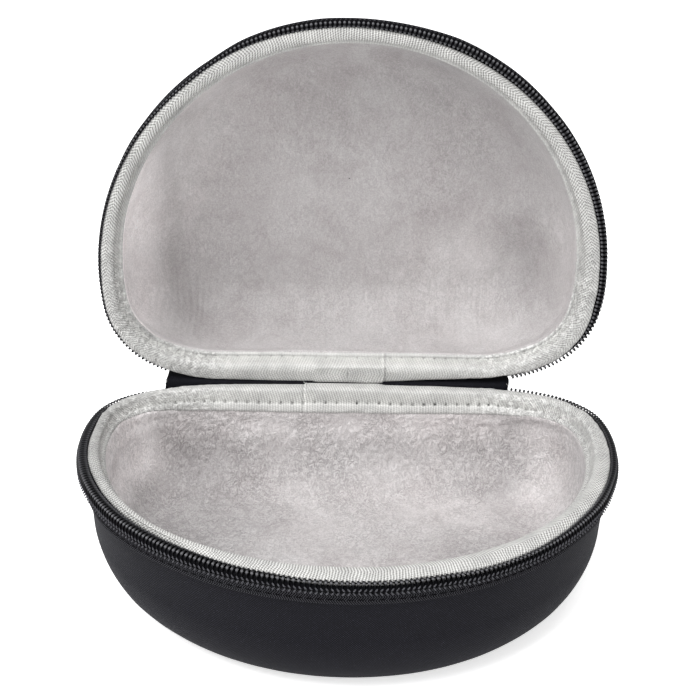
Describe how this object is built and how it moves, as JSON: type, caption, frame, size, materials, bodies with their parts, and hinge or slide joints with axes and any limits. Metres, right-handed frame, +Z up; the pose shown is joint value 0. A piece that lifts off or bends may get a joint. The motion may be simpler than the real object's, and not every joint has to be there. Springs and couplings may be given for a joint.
{
  "type": "headphone carrying case",
  "caption": "Zipped clamshell case for headphones: two domed, velvet-lined halves, D-shaped in plan, joined by a fabric hinge strip, with zip sliders parked behind it.",
  "frame": {"origin": "centre of the flat face on which the base rests, midway between the outermost front and rear points of the rim", "axes": "+Z up, -Y towards the curved front, +X to the right seen from the front; the lid stands open at the rear"},
  "size_m": [0.1796, 0.1772, 0.178],
  "materials": {
    "outer_fabric": "fine matt twill, near black",
    "foam": "closed-cell foam",
    "velvet": "short warm grey pile",
    "binding": "fine ribbed grosgrain, light grey",
    "light_thread": "light grey sewing thread",
    "zip_tape": "herringbone zip tape, black",
    "coil": "black nylon monofilament",
    "dark_thread": "black sewing thread",
    "slider_metal": "black lacquered zinc"
  },
  "bodies": {
    "base": {"base_outer_fabric": "outer_fabric", "base_foam_shell": "foam", "base_lining": "velvet", "base_rim_binding": "binding", "base_binding_seam_thread": "light_thread", "base_zipper_tape": "zip_tape", "base_zipper_coil": "coil", "base_coil_cord": "zip_tape", "base_coil_thread": "dark_thread", "base_tape_seam_thread": "dark_thread", "base_hinge_leaf": "outer_fabric", "base_hinge_tab": "binding", "left_tail_tape": "zip_tape", "left_tail_chain": "coil", "left_end_stop": "slider_metal", "right_tail_tape": "zip_tape", "right_tail_chain": "coil", "right_end_stop": "slider_metal"},
    "lid": {"lid_outer_fabric": "outer_fabric", "lid_foam_shell": "foam", "lid_lining": "velvet", "lid_rim_binding": "binding", "lid_binding_seam_thread": "light_thread", "lid_zipper_tape": "zip_tape", "lid_zipper_coil": "coil", "lid_coil_cord": "zip_tape", "lid_coil_thread": "dark_thread", "lid_tape_seam_thread": "dark_thread", "lid_hinge_leaf": "outer_fabric", "lid_hinge_tab": "binding"},
    "left_slider": {"left_slider_body": "slider_metal"},
    "left_link": {"left_pull_link": "slider_metal"},
    "left_pull": {"left_pull_tab": "slider_metal"},
    "right_slider": {"right_slider_body": "slider_metal"},
    "right_link": {"right_pull_link": "slider_metal"},
    "right_pull": {"right_pull_tab": "slider_metal"}
  },
  "joints": [
    {"name": "lid_hinge", "type": "hinge", "parent": "base", "child": "lid", "pos_m": [0, 0.065, 0.045], "axis": [-1, 0, 0], "range_deg": [-86.5, 13.5]},
    {"name": "left_slider_slide", "type": "slide", "parent": "base", "child": "left_slider", "axis": [-1, 0, 0], "range_m": [0, 0.003]},
    {"name": "left_link_swing", "type": "hinge", "parent": "left_slider", "child": "left_link", "pos_m": [-0.0536, 0.0734, 0.0384], "axis": [1, 0, 0], "range_deg": [0, 60]},
    {"name": "left_pull_swing", "type": "hinge", "parent": "left_link", "child": "left_pull", "pos_m": [-0.0536, 0.0734, 0.0323], "axis": [1, 0, 0], "range_deg": [-18, 20]},
    {"name": "right_slider_slide", "type": "slide", "parent": "base", "child": "right_slider", "axis": [1, 0, 0], "range_m": [0, 0.003]},
    {"name": "right_link_swing", "type": "hinge", "parent": "right_slider", "child": "right_link", "pos_m": [0.0536, 0.0734, 0.0384], "axis": [1, 0, 0], "range_deg": [0, 60]},
    {"name": "right_pull_swing", "type": "hinge", "parent": "right_link", "child": "right_pull", "pos_m": [0.0536, 0.0734, 0.0323], "axis": [1, 0, 0], "range_deg": [-18, 20]}
  ]
}
